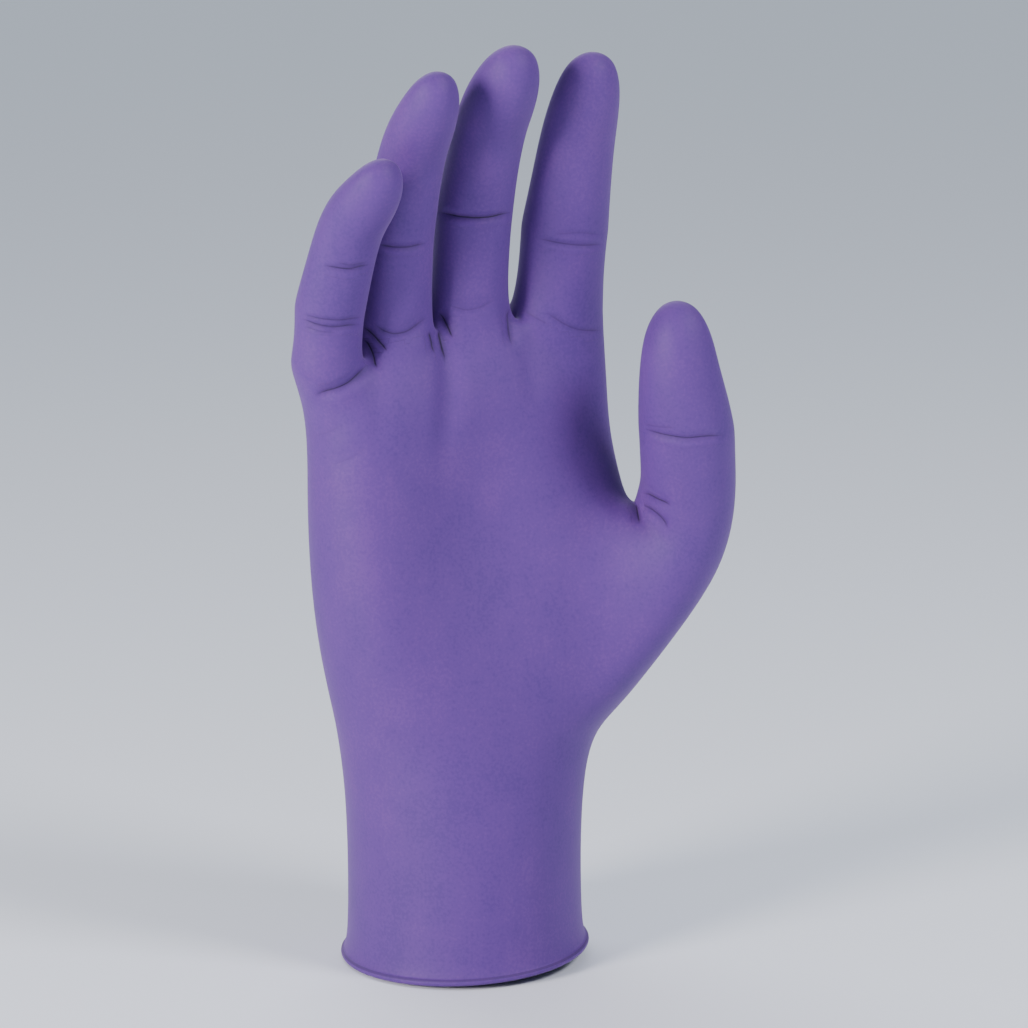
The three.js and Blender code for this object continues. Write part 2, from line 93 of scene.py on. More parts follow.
# %% Fingers and thumb
FINGERS = [
    dict(name="little", long=0.8, wide=0.88, thick=0.88, gap=0.45, bones=(0.25, 0.38, 0.37),
         girth=(1, 1.04, 1.08), bends=(12, 25, 46), lean=-4.5, turn=18, fore=0.18, drop=0.085),
    dict(name="ring", long=0.965, wide=0.93, thick=0.96, gap=0.6, bones=(0.36, 0.31, 0.33),
         girth=(1, 1, 1), bends=(8, 23, 38), lean=-3, turn=9, fore=0.07, drop=0.03),
    dict(name="middle", long=1, wide=0.95, thick=1, gap=1.5, bones=(0.36, 0.31, 0.33),
         girth=(1.04, 1.03, 1.08), bends=(6, 22, 40), lean=1, turn=0, fore=0, drop=0),
    dict(name="index", long=0.915, wide=1.13, thick=1.04, gap=0, bones=(0.32, 0.32, 0.36),
         girth=(1, 0.98, 0.92), bends=(8, 15, 24), lean=2, turn=-4, fore=0.035, drop=0),
]
# Each row: bone, place along it, and shares of the half width and of the half thickness on palm side and back.
FINGER_BASE = (0, 0, 1.02, 0.98, 1.0)
FINGER_SECTIONS = [
    (0, 0.2, 0.99, 1.0, 1.0), (0, 0.55, 0.94, 1.0, 0.94), (0, 0.92, 0.96, 0.98, 0.98),
    (1, 0.0, 0.97, 0.97, 0.99), (1, 0.1, 0.96, 0.98, 0.98), (1, 0.5, 0.9, 0.96, 0.88),
    (2, 0.0, 0.87, 0.87, 0.86), (2, 0.35, 0.85, 0.94, 0.74), (2, 0.7, 0.74, 0.82, 0.58),
    (2, 0.92, 0.46, 0.5, 0.36),
]
FINGER_TIP = (2, 1.03)

THUMB = dict(bones=(0.29, 0.33, 0.38), out=(39, -12, -9), fore=(22, 18, 8), turn=(-40, -50, -55),
             girth=(1, 1, 1), root=(0.8, 1.03, 0.3))
# Each row: bone, place along it, tilt of the section, and the same three shares as a finger's.
THUMB_SECTIONS = [
    (0, 0.5, 72, 1.36, 1.25, 1.2), (0, 0.95, 38, 1.06, 1.12, 1.05), (1, 0.4, 10, 1.04, 1.02, 0.95),
    (1, 0.85, -1, 0.98, 0.95, 1.0), (2, 0.0, -5, 0.98, 0.93, 1.0), (2, 0.1, -6, 0.97, 0.95, 0.95),
    (2, 0.45, -9, 0.86, 1.0, 0.6), (2, 0.78, -9, 0.7, 0.84, 0.42), (2, 0.95, -9, 0.42, 0.46, 0.3),
]
THUMB_TIP = (2, 1.04)
print(len(FINGERS), "fingers of", len(FINGER_SECTIONS), "rings and a thumb of", len(THUMB_SECTIONS))

# %% Cuff and palm
# Each row: place up the cuff, and shares of the half width on the four sides: little finger, thumb, palm, back.
CUFF_SECTIONS = [
    (0, 1.05, 1.05, 1.05, 1.05), (0.06, 1.015, 1.015, 1.015, 1.015),
    (0.4, 1.01, 1.0, 1.0, 1.0), (0.75, 1.04, 1.03, 0.96, 0.96),
]
# The palm's rows go on with the shift aside, the bulges of the thumb's ball and of the heel, and a slope.
PALM_SECTIONS = [
    (0.0, 0.75, 0.775, 1.7, 1.65, 0, 0, 0, 0), (0.06, 0.77, 1.0, 1.6, 1.55, 0.05, 0.1, 0.05, 0),
    (0.2, 0.835, 1.06, 1.3, 1.3, 0.2, 0.5, 0.25, 0), (0.37, 0.87, 1.0, 1.08, 1.12, 0.4, 0.6, 0.35, 0),
    (0.57, 0.86, 1.05, 0.95, 1.03, 0.65, 0.4, 0.35, 0), (0.7, 0.83, 0.99, 0.92, 1.02, 0.82, 0.15, 0.3, 0.02),
    (0.83, 0.83, 1.0, 0.95, 1.0, 0.95, 0, 0.3, 0.05),
]
# The thumb's hole: the palm row and column where it starts, and how many of each it takes.
THUMB_HOLE = dict(section=1, rows=3, column=6, columns=3)
# The palm's ellipse grows square to this power, over the first third of its length.
PALM_SQUARE, SQUARING_RATE = 0.82, 3
# The rim's slope fades up the cuff by this power.
RIM_FADE = 4
BALL_ANGLE, HEEL_ANGLE, BULGE_SPREAD = 312, 225, 36
# Points to a ring, and the angle at which each kind of ring starts.
COLUMNS, FINGER_POINTS, THUMB_POINTS = 20, 8, 12
COLUMNS_START, FINGER_START, THUMB_START = 198, 225, -45
print(len(CUFF_SECTIONS) + len(PALM_SECTIONS), "rings from rim to knuckles")

# %% [markdown]
# ## Bones and directions
#
# A finger is a chain of three bones. At each place along it there are three directions: along the bone, out of the
# palm side, and sideways. The bend changes smoothly near a joint, because rubber over a knuckle never kinks like a
# folded tube. The centre line is walked in short steps along those directions.

# %% Directions along a finger
# The short steps to a bone, and the share of it at each end over which the bend changes.
STRIDES = 12
JOINT_SHARE = 0.25


def mix(a, b, share):
    """a, moved towards b by that share of the way."""
    return a + (b - a) * share


def unit(vector):
    """The vector divided by its length."""
    return vector / np.linalg.norm(vector)


def along_bones(values, bone, at):
    """A bone's own value, sliding half way to its neighbour's value over the quarter beside a joint."""
    after, before = min(bone + 1, len(values) - 1), max(bone - 1, 0)
    if at > 1 - JOINT_SHARE:
        return mix(values[bone], values[after], (at - 1 + JOINT_SHARE) / (2 * JOINT_SHARE))
    if at < JOINT_SHARE:
        return mix(values[bone], values[before], (JOINT_SHARE - at) / (2 * JOINT_SHARE))
    return values[bone]


def directions(axis, facing):
    """Along, palm side and sideways: facing with its part along the axis taken off, and the cross product of both."""
    palm = unit(facing - axis * (facing @ axis))
    return axis, palm, np.cross(axis, palm)


def finger_directions(finger, bone, at, tilt=None):
    """The finger's straight direction, turned towards its palm side by the bend there. A finger takes no tilt."""
    bend = math.radians(along_bones(finger["bends"], bone, at))
    lean, turn = math.radians(finger["lean"]), math.radians(finger["turn"])
    straight = np.array([math.sin(lean), 0, math.cos(lean)])
    _, palm, _ = directions(straight, np.array([math.sin(turn), -math.cos(turn), 0]))
    axis = straight * math.cos(bend) + palm * math.sin(bend)
    return directions(axis, palm * math.cos(bend) - straight * math.sin(bend))


def thumb_directions(thumb, bone, at, tilt=None):
    """The thumb's bone leans out from straight up by one angle or a section's own tilt, and forward by another."""
    out = math.radians(along_bones(thumb["out"], bone, at) if tilt is None else tilt)
    fore = math.radians(along_bones(thumb["fore"], bone, at))
    turn = math.radians(along_bones(thumb["turn"], bone, at))
    axis = np.array([math.sin(out), -math.sin(fore) * math.cos(out), math.cos(fore) * math.cos(out)])
    return directions(unit(axis), np.array([math.sin(turn), -math.cos(turn), 0]))


print("each bone's bend changes over", JOINT_SHARE, "of its length at both ends")

# %% Where each digit starts and how big it is
# The width that each finger takes up with the gap beside it.
taken = [f["wide"] * FINGER_WIDE + f["gap"] * FINGER_GAP for f in FINGERS]
KNUCKLES_WIDE = sum(taken)
PALM_HALF = KNUCKLES_WIDE / 2 + PALM_MARGIN

DIGITS = {}
for i, f in enumerate(FINGERS):
    across = sum(taken[:i]) + f["wide"] * FINGER_WIDE / 2 - KNUCKLES_WIDE / 2 - KNUCKLE_SHIFT
    DIGITS[f["name"]] = dict(
        base=np.array([across, -f["fore"] * PALM_THICK, CUFF_LENGTH + PALM_LENGTH * (1 - f["drop"])]),
        bones=np.array(f["bones"]) * f["long"] * FINGER_LENGTH, girth=f["girth"], shape=f,
        half=(f["wide"] * FINGER_WIDE / 2, f["thick"] * FINGER_THICK / 2), turned=finger_directions)
root_across, root_fore, root_up = THUMB["root"]
DIGITS["thumb"] = dict(
    base=np.array([root_across * PALM_HALF, -root_fore * PALM_THICK / 2, CUFF_LENGTH + root_up * PALM_LENGTH]),
    bones=np.array(THUMB["bones"]) * THUMB_LENGTH, girth=THUMB["girth"], shape=THUMB,
    half=(THUMB_WIDE / 2, THUMB_THICK / 2), turned=thumb_directions)


def place(digit, bone, at, tilt=None):
    """Centre, directions and half sizes there: the base plus all the short steps taken along the bones."""
    centre = digit["base"].copy()
    for b in range(bone + 1):
        share = at if b == bone else 1
        for step in range(STRIDES):
            axis, _, _ = digit["turned"](digit["shape"], b, share * (step + 0.5) / STRIDES)
            centre += axis * digit["bones"][b] * share / STRIDES
    full = along_bones(digit["girth"], bone, at)
    return centre, digit["turned"](digit["shape"], bone, at, tilt), np.array(digit["half"]) * full


print("fingertips at", {n: np.round(place(d, 2, 1.0)[0]).tolist() for n, d in DIGITS.items()})

# %% [markdown]
# ## Rings of control points
#
# The cage is made of rings: twenty points around the cuff and palm, eight around a finger, twelve around the thumb.
# A ring of control points has to be a little larger than the smooth ring that it makes, because subdivision pulls
# the surface inside its cage.

# %% Rings


def swell(count):
    """How much larger a cage ring is than its smooth ring: six over four plus twice the cosine of one step."""
    return 6 / (4 + 2 * math.cos(2 * math.pi / count))


def digit_ring(digit, section, count, start, tilt=None):
    """An ellipse round the centre line: sideways by cosine, front and back by sine with a depth for each."""
    bone, at, wide, palm, back = section
    centre, (_, to_palm, side), (half_wide, half_thick) = place(digit, bone, at, tilt)
    angle = math.radians(start) + 2 * np.pi * np.arange(count) / count
    deep = half_thick * np.where(np.sin(angle) > 0, back, palm) * np.sin(angle) * swell(count)
    across = half_wide * wide * np.cos(angle) * swell(count)
    return centre + across[:, None] * side - deep[:, None] * to_palm


def shaped(value, power):
    """The value raised to that power with its sign kept, which squares up an ellipse."""
    return np.sign(value) * np.abs(value) ** power


def bell(angle, peak):
    """A smooth rise around one angle: e to the minus square of the angle from its peak over the spread."""
    off = angle - math.radians(peak)
    return np.exp(-((np.arctan2(np.sin(off), np.cos(off)) / math.radians(BULGE_SPREAD)) ** 2))


def body_ring(sides, height, half_across, half_through, square, aside=0, ball=0, heel=0, slope=0):
    """A squared ellipse whose four sides have their own share, with two bulges in front and a slope sideways."""
    little, thumb, palm, back = sides
    angle = math.radians(COLUMNS_START) + 2 * np.pi * np.arange(COLUMNS) / COLUMNS
    cos, sin = np.cos(angle), np.sin(angle)
    across = half_across * np.where(cos < 0, little, thumb) * shaped(cos, square) * swell(COLUMNS)
    through = half_through * np.where(sin < 0, palm, back) * shaped(sin, square) * swell(COLUMNS)
    front = half_through * (ball * bell(angle, BALL_ANGLE) + heel * bell(angle, HEEL_ANGLE))
    return np.stack([across - KNUCKLE_SHIFT * aside, through - front, height + slope * across], 1)


print("rings are larger by", [round(swell(count), 3) for count in (COLUMNS, FINGER_POINTS, THUMB_POINTS)])

# %% [markdown]
# ## The cage
#
# The rings are joined by strips of four-sided faces. Where two fingers meet, their lowest rings share the corner
# points, which makes the webs. The thumb grows out of a square hole in the palm's side whose twelve corner points
# fit the thumb's twelve. Four-sided faces all over are what lets subdivision stay free of ripples.

# %% Build the cage


class Cage:
    """Points and four-sided faces, collected ring by ring."""

    def __init__(self):
        self.points, self.faces, self.count = [], [], 0

    def add(self, ring):
        """Adds rows of points and returns their numbers."""
        ring = np.atleast_2d(ring)
        self.points.append(ring)
        self.count += len(ring)
        return np.arange(self.count - len(ring), self.count)

    def strip(self, low, high, keep=slice(None)):
        """Faces between two closed rings, anticlockwise seen from outside."""
        self.faces.append(np.stack([low, np.roll(low, -1), np.roll(high, -1), high], 1)[keep])

    def cap(self, last, tip):
        """Faces from a ring to one point, each over two of the ring's sides."""
        centre = np.full(len(last) // 2, self.add(tip)[0])
        self.faces.append(np.stack([centre, last[::2], last[1::2], np.roll(last, -2)[::2]], 1))


def make_cage():
    """All rings of the glove, joined; returns the points and faces as arrays."""
    cage = Cage()
    rows = []
    for up, *sides in CUFF_SECTIONS:
        height = mix(BEAD, CUFF_LENGTH, up)
        slope = math.tan(math.radians(RIM_TILT)) * (1 - up) ** RIM_FADE
        rows.append(cage.add(body_ring(sides, height, CUFF_WIDE / 2, CUFF_WIDE / 2, 1, slope=slope)))
    for up, little, thumb, palm, back, *extras in PALM_SECTIONS:
        sides = (little, thumb, palm, back)
        height = CUFF_LENGTH + up * PALM_LENGTH
        square = mix(1, PALM_SQUARE, min(1, up * SQUARING_RATE))
        rows.append(cage.add(body_ring(sides, height, PALM_HALF, PALM_THICK / 2, square, *extras)))

    # The lowest ring of each finger, with shared corners at the webs: on the palm side, between, and at the back.
    names = [f["name"] for f in FINGERS]
    bases = [digit_ring(DIGITS[name], FINGER_BASE, FINGER_POINTS, FINGER_START) for name in names]
    webs = []
    for i in range(len(names) + 1):
        left, right = bases[max(i - 1, 0)], bases[min(i, len(names) - 1)]
        pairs = [(left[k], right[m]) for k, m in ((2, 0), (3, 7), (4, 6))]
        if i == 0:
            corners = np.array([b for _, b in pairs])
        elif i == len(names):
            corners = np.array([a for a, _ in pairs])
        else:
            corners = np.array([(a + b) / 2 for a, b in pairs])
            corners[1, 2] -= WEB_DEPTH
        webs.append(cage.add(corners))
    middles = [cage.add(base[[1, 5]]) for base in bases]
    lowest, palm_side, back_side = [], [], []
    for i in range(len(names)):
        (p0, s0, b0), (p1, s1, b1), (mp, mb) = webs[i], webs[i + 1], middles[i]
        lowest.append(np.array([p0, mp, p1, s1, b1, mb, b0, s0]))
        palm_side += [p0, mp]
        back_side += [mb, b1]
    end = webs[-1]
    rows.append(np.array(palm_side + [end[0], end[1]] + back_side[::-1] + [webs[0][2], webs[0][1]]))

    # Strips up the body, leaving the thumb's hole open.
    bottom = len(CUFF_SECTIONS) + THUMB_HOLE["section"]
    column, right = THUMB_HOLE["column"], THUMB_HOLE["column"] + THUMB_HOLE["columns"]
    deep = THUMB_HOLE["rows"]
    in_columns = (np.arange(COLUMNS) >= column) & (np.arange(COLUMNS) < right)
    for r in range(len(rows) - 1):
        in_hole = in_columns & (bottom <= r < bottom + deep)
        cage.strip(rows[r], rows[r + 1], ~in_hole)

    # The fingers, ring by ring, and a cap on each tip.
    for name, low in zip(names, lowest):
        for section in FINGER_SECTIONS:
            high = cage.add(digit_ring(DIGITS[name], section, FINGER_POINTS, FINGER_START))
            cage.strip(low, high)
            low = high
        cage.cap(low, place(DIGITS[name], *FINGER_TIP)[0])

    # The thumb starts from the points round its hole, anticlockwise seen from outside.
    low = np.concatenate([
        rows[bottom][column:right],
        [rows[bottom + r][right] for r in range(deep)],
        rows[bottom + deep][column + 1:right + 1][::-1],
        [rows[bottom + r][column] for r in range(deep, 0, -1)],
    ])
    for bone, at, tilt, *shares in THUMB_SECTIONS:
        section = (bone, at, *shares)
        high = cage.add(digit_ring(DIGITS["thumb"], section, THUMB_POINTS, THUMB_START, tilt))
        cage.strip(low, high)
        low = high
    cage.cap(low, place(DIGITS["thumb"], *THUMB_TIP)[0])
    return np.concatenate(cage.points), np.concatenate(cage.faces)


cage_points, cage_faces = make_cage()
print("cage:", len(cage_points), "points,", len(cage_faces), "faces")

# %% [markdown]
# ## Smooth the cage
#
# Blender's own Subdivision Surface modifier turns the cage into a smooth skin. Its limit option puts every point
# where endless subdivision would put it. The outside gets three levels for its fine creases, and the inside, which
# shows only through the wrist, needs two.

# %% Subdivide
OUTSIDE_LEVELS, INSIDE_LEVELS = 3, 2


def smooth_skin(levels):
    """The cage after that many levels of subdivision, as arrays of points in millimetres and of four-sided faces."""
    mesh = bpy.data.meshes.new("cage")
    mesh.from_pydata(cage_points.tolist(), [], cage_faces.tolist())
    cage_object = bpy.data.objects.new("cage", mesh)
    bpy.context.scene.collection.objects.link(cage_object)
    modifier = cage_object.modifiers.new("smooth", "SUBSURF")
    modifier.levels = modifier.render_levels = levels
    modifier.use_limit_surface = True
    modifier.boundary_smooth = "ALL"
    skin = bpy.data.meshes.new_from_object(cage_object.evaluated_get(bpy.context.evaluated_depsgraph_get()))
    points = np.zeros(len(skin.vertices) * 3, np.float32)
    skin.vertices.foreach_get("co", points)
    faces = np.zeros(len(skin.loops), np.int32)
    skin.loops.foreach_get("vertex_index", faces)
    bpy.data.objects.remove(cage_object)
    bpy.data.meshes.remove(mesh)
    bpy.data.meshes.remove(skin)
    return points.reshape(-1, 3).astype(float), faces.reshape(-1, 4)


def normals_of(points, faces):
    """At each point, the sum of the cross products of its faces' diagonals, divided by its length."""
    a, b, c, d = (points[faces[:, k]] for k in range(4))
    across = np.cross(c - a, d - b)
    total = np.zeros_like(points)
    for k in range(4):
        np.add.at(total, faces[:, k], across)
    return total / (np.linalg.norm(total, axis=1, keepdims=True) + 1e-12)


outer, outer_faces = smooth_skin(OUTSIDE_LEVELS)
inner, inner_faces = smooth_skin(INSIDE_LEVELS)
print("outside:", len(outer), "points; inside:", len(inner), "points")

# %% [markdown]
# ## Soft hollows of the palm and the back
#
# Between the bones the film bridges soft hollows, and it lies flat over each nail. Both are Gaussian dents, pressed
# in along the surface's own direction, on the outside and the inside alike.

# %% Soft hollows
DENT_DEPTH = 3
# Each row: side, across in half palm widths, up in palm lengths, half sizes in the same, lean, share of the depth.
DENTS = [
    ("palm", -0.05, 0.55, 0.35, 0.22, -12, 0.9), ("palm", -0.22, 0.86, 0.07, 0.12, 8, 0.5),
    ("palm", -0.66, 0.82, 0.06, 0.09, 6, 0.12), ("palm", 0.3, 0.88, 0.07, 0.08, -6, 0.15),
    ("back", -0.66, 0.86, 0.08, 0.12, 4, 0.5), ("back", -0.2, 0.92, 0.08, 0.14, 0, 0.6),
    ("back", 0.28, 0.92, 0.08, 0.14, -4, 0.6),
]


def dent_depth(points, normals):
    """For each dent, depth times how far the skin faces that side times e to the minus squared distance."""
    depth = np.zeros(len(points))
    for side, across, up, wide, high, turn, deep in DENTS:
        facing = np.clip(-normals[:, 1] if side == "palm" else normals[:, 1], 0, None)
        x = points[:, 0] - across * PALM_HALF
        z = points[:, 2] - CUFF_LENGTH - up * PALM_LENGTH
        cos, sin = math.cos(math.radians(turn)), math.sin(math.radians(turn))
        u = (x * cos - z * sin) / (wide * PALM_HALF)
        v = (x * sin + z * cos) / (high * PALM_LENGTH)
        depth += DENT_DEPTH * deep * facing * np.exp(-u * u - v * v)
    return depth


# Each row: digit, place along its last bone, depth in mm and radius in mm. The spot lies this share of the way out.
NAIL_OUT = 0.6
NAILS = [("little", 0.6, 0.5, 5), ("ring", 0.6, 0.5, 5.5), ("middle", 0.6, 0.5, 5.5), ("index", 0.6, 0.5, 6),
         ("thumb", 0.5, 2.6, 6.5)]


def nail_depth(points):
    """For each nail, depth times e to the minus squared distance from a spot on the way out to the digit's back."""
    depth = np.zeros(len(points))
    for name, at, deep, radius in NAILS:
        centre, (_, to_palm, _), (_, half_thick) = place(DIGITS[name], 2, at)
        spot = centre - to_palm * half_thick * NAIL_OUT
        depth += deep * np.exp(-np.sum((points - spot) ** 2, axis=1) / radius**2)
    return depth


def press_hollows(points, faces):
    """The points moved inwards by the depth of all soft hollows and nails."""
    normals = normals_of(points, faces)
    return points - normals * (dent_depth(points, normals) + nail_depth(points))[:, None]


outer, inner = press_hollows(outer, outer_faces), press_hollows(inner, inner_faces)
skin_normals = normals_of(outer, outer_faces)
print("deepest soft hollow:", round(float(dent_depth(outer, skin_normals).max()), 2), "mm")

# %% [markdown]
# ## The camera's view of the glove
#
# The photograph looks at the palm from the little finger's side and from a little above. The camera is worked out
# from those two angles, a long lens, and the pixel where the middle of the wrist opening lies. The same sums turn
# a point of the glove into a pixel, so a fold can be laid exactly where the photograph shows it.

# %% Camera geometry
PHOTO_SIZE = 1028
AZIMUTH, ELEVATION = -25, 11
LENS, SENSOR = 135, 36
# How far in front of the eye the wrist opening lies, in mm, and its pixel in the photograph.
CAMERA_AWAY = 964
WRIST_PIXEL = (465, 946)

focal = LENS / SENSOR * PHOTO_SIZE
turn, climb = math.radians(AZIMUTH), math.radians(ELEVATION)
to_right = np.array([math.cos(turn), math.sin(turn), 0])
look = np.array([-math.sin(turn) * math.cos(climb), math.cos(turn) * math.cos(climb), -math.sin(climb)])
to_up = np.cross(to_right, look)
wrist_right = (WRIST_PIXEL[0] - PHOTO_SIZE / 2) / focal * CAMERA_AWAY
wrist_up = -(WRIST_PIXEL[1] - PHOTO_SIZE / 2) / focal * CAMERA_AWAY
eye = -(look * CAMERA_AWAY + to_right * wrist_right + to_up * wrist_up)


def to_pixels(points):
    """Pixel across and down, and distance: the offset from the eye along right and up, over that along the look."""
    offset = points - eye
    away = offset @ look
    across = PHOTO_SIZE / 2 + focal * (offset @ to_right) / away
    down = PHOTO_SIZE / 2 - focal * (offset @ to_up) / away
    return across, down, away


pixel_across, pixel_down, away = to_pixels(outer)
PIXEL = CAMERA_AWAY / focal
print("one pixel covers", round(PIXEL, 3), "mm of the glove")

# %% [markdown]
# ## Creases and pleats
#
# Rubber film creases sharply where a finger bends and pleats where fingers part. Each one is a line drawn through
# a few pixels of the photograph. A point's distance from the line sets how deep it is pressed, with a low lip on
# both sides where the film bulges. The signed distance is kept on the mesh too, so that the material can paint
# shade into the fold: a dark hairline in the middle, much finer than the mesh, and a broader trough of painted
# shade. Lines that lie close together take different layers.

# %% Fold lines
# Each row: layer, width in mm, depth in mm, darkness of its painted shade, pixels along the line.
FOLDS = [
    (0, 0.7, 0.45, 0.8, [(322, 265), (335, 268), (350, 270), (371, 264)]),
    (1, 0.5, 0.2, 0.4, [(336, 262), (350, 266), (368, 262)]),
    (0, 0.8, 0.5, 0.8, [(300, 318), (316, 325), (334, 328), (362, 324)]),
    (1, 0.6, 0.3, 0.6, [(301, 314), (320, 319), (340, 321), (364, 317)]),
    (2, 0.6, 0.25, 0.4, [(303, 326), (320, 332), (338, 333)]),
    (0, 1.3, 0.9, 1.0, [(368, 362), (361, 373), (349, 384), (336, 390), (312, 396)]),
    (0, 0.8, 0.5, 0.8, [(376, 244), (394, 248), (410, 248), (428, 243)]),
    (0, 2.0, 0.9, 0.8, [(372, 322), (381, 331), (394, 335), (408, 333), (419, 326), (427, 316)]),
    (0, 1.0, 0.7, 1.2, [(436, 211), (456, 217), (476, 219), (494, 218), (514, 211)]),
    (0, 1.6, 0.5, 0.3, [(446, 305), (466, 311), (482, 308), (496, 299)]),
    (0, 0.7, 0.32, 0.6, [(536, 238), (552, 242), (570, 245), (586, 246), (606, 244)]),
    (1, 0.6, 0.15, 0.2, [(550, 235), (578, 233), (604, 235)]),
    (1, 1.0, 0.4, 0.35, [(524, 311), (536, 318), (549, 325)]),
    (0, 1.0, 0.5, 0.5, [(544, 311), (562, 323), (574, 329), (586, 331), (606, 330)]),
    (1, 1.3, 0.8, 1.3, [(438, 312), (444, 322), (449, 330), (453, 338)]),
    (2, 1.1, 0.7, 1.3, [(438, 328), (440, 337), (443, 347), (446, 360)]),
    (0, 1.0, 0.6, 1.1, [(429, 330), (432, 341), (434, 352)]),
    (1, 1.8, 0.8, 1.4, [(362, 326), (372, 336), (383, 346), (388, 352)]),
    (2, 1.6, 0.8, 1.4, [(362, 338), (370, 350), (375, 362), (377, 368)]),
    (0, 1.3, 0.9, 0.8, [(510, 306), (510, 326), (512, 345)]),
    (0, 0.9, 0.5, 0.8, [(640, 427), (657, 434), (673, 437), (687, 439), (703, 437), (728, 435)]),
    (1, 0.7, 0.2, 0.3, [(642, 424), (658, 427), (676, 428)]),
    (0, 1.2, 0.7, 1.0, [(634, 489), (647, 494), (657, 500), (672, 506)]),
    (1, 1.2, 0.7, 0.9, [(638, 496), (648, 507), (657, 515), (669, 529)]),
    (2, 1.3, 0.7, 1.1, [(633, 499), (637, 510), (640, 524)]),
    (0, 1.8, 0.25, 0.1, [(309, 438), (330, 432), (345, 424)]),
    (0, 1.8, 0.25, 0.1, [(330, 466), (350, 459), (368, 447)]),
]
print(len(FOLDS), "fold lines")

# %% Distance from a fold line
LINE_PIECES, LINE_SMOOTHING = 24, 3


def line_distance(line):
    """Signed distance from a smooth line in mm, and the share along it: the nearest of its short straight pieces."""
    corners = np.array(line, float)
    lengths = np.concatenate([[0], np.cumsum(np.linalg.norm(np.diff(corners, axis=0), axis=1))])
    steps = np.linspace(0, lengths[-1], LINE_PIECES + 1)
    curve = np.stack([np.interp(steps, lengths, corners[:, k]) for k in (0, 1)], 1)
    for _ in range(LINE_SMOOTHING):
        curve[1:-1] = (curve[:-2] + 2 * curve[1:-1] + curve[2:]) / 4
    best = np.full(len(outer), 1e9)
    signed, along = best.copy(), np.zeros(len(outer))
    for i, (start, end) in enumerate(zip(curve[:-1], curve[1:])):
        step = end - start
        x, y = pixel_across - start[0], pixel_down - start[1]
        t = np.clip((x * step[0] + y * step[1]) / (step @ step), 0, 1)
        gap = np.hypot(x - t * step[0], y - t * step[1])
        closer = gap < best
        best = np.where(closer, gap, best)
        signed = np.where(closer, gap * np.sign(x * step[1] - y * step[0]), signed)
        along = np.where(closer, (i + t) / LINE_PIECES, along)
    return signed * PIXEL, along


first_gap = np.abs(line_distance(FOLDS[0][-1])[0])
print("points within 1 mm of the first fold:", int((first_gap < 1).sum()))

# %% Press the folds
LAYERS = 3
# A fold reaches this many of its widths, and touches only points within this many mm of its own distance from the
# eye. That distance is read at the middle of the line, up to this share of the line away.
FOLD_REACH, FOLD_WINDOW, MIDDLE_SHARE = 4, 11, 0.2
# Folds fade where the film turns edge-on to the camera, and over this share at both ends of the line.
EDGE_ON, EDGE_FADE, END_SHARE = 0.08, 0.25, 0.22
# The lips' height as a share of the depth, and their place in widths from the line.
LIP_HEIGHT, LIP_AT = 0.2, 2.1
# Distances are kept up to the first number of mm, and the second stands for anything further.
LAYER_REACH, FAR = 2.5, 9.0


def press_folds():
    """Depth, distances and painted shade strengths of all folds: depth times e to the minus squared widths, less the
    lips.
    """
    depth = np.zeros(len(outer))
    offset = np.full((len(outer), LAYERS), FAR)
    strength = np.zeros((len(outer), LAYERS))
    facing = -(skin_normals @ look)
    for layer, wide, deep, painted_shade, line in FOLDS:
        signed, along = line_distance(line)
        gap = np.abs(signed)
        near = (gap < FOLD_REACH * wide) & (facing > EDGE_ON)
        core = near & (np.abs(along - 0.5) < MIDDLE_SHARE)
        near &= np.abs(away - away[core].min()) < FOLD_WINDOW
        ends = np.clip(np.minimum(along, 1 - along) / END_SHARE, 0, 1)
        fade = near * ends * ends * (3 - 2 * ends) * np.clip((facing - EDGE_ON) / EDGE_FADE, 0, 1)
        lips = LIP_HEIGHT * np.exp(-(((gap - LIP_AT * wide) / wide) ** 2))
        depth += deep * fade * (np.exp(-((gap / wide) ** 2)) - lips)
        # Each layer keeps the nearest line's signed distance and how dark its painted shade is there.
        nearer = near & (gap < np.abs(offset[:, layer])) & (gap < LAYER_REACH)
        offset[nearer, layer] = signed[nearer]
        strength[nearer, layer] = painted_shade * fade[nearer]
    return depth, offset, strength


fold_depth, fold_offset, fold_shade_strength = press_folds()
print("deepest fold:", round(float(fold_depth.max()), 2), "mm")

# %% [markdown]
# ## The web beside the thumb
#
# Between thumb and palm the film is drawn up into a tight V. A Gaussian mound on the web's lowest spot lifts it and
# brings both sides together.

# %% Raise the web
WEB_PIXEL, WEB_RISE, WEB_RADIUS = (640, 501), 1.8, 6


def web_mound():
    """Rise times e to the minus squared distance from the visible point nearest to the web's pixel."""
    apart = np.hypot(pixel_across - WEB_PIXEL[0], pixel_down - WEB_PIXEL[1])
    spot = outer[np.argmin(np.where(skin_normals @ look < 0, apart, 1e9))]
    return WEB_RISE * np.exp(-np.sum((outer - spot) ** 2, axis=1) / WEB_RADIUS**2)


outer -= skin_normals * (fold_depth - web_mound())[:, None]
print("the web rises by", WEB_RISE, "mm")

# %% [markdown]
# ## Close the film at the rim
#
# The real edge is the film rolled up on itself into a bead. Here rows of points turn round the bead's middle, from
# the outside over the bottom to the inside, and the last row meets the inner skin. The inner skin has half as
# many points, so each of its edges takes three triangles.

# %% The rolled bead
BEAD_STEPS = 12


def open_edge(points, faces):
    """The points on edges that belong to one face only, sorted by their angle around the cuff."""
    edges = np.sort(np.stack([faces, np.roll(faces, -1, 1)], -1).reshape(-1, 2), 1)
    pairs, times = np.unique(edges, axis=0, return_counts=True)
    rim = np.unique(pairs[times == 1])
    return rim[np.argsort(np.arctan2(points[rim, 1], points[rim, 0]))]


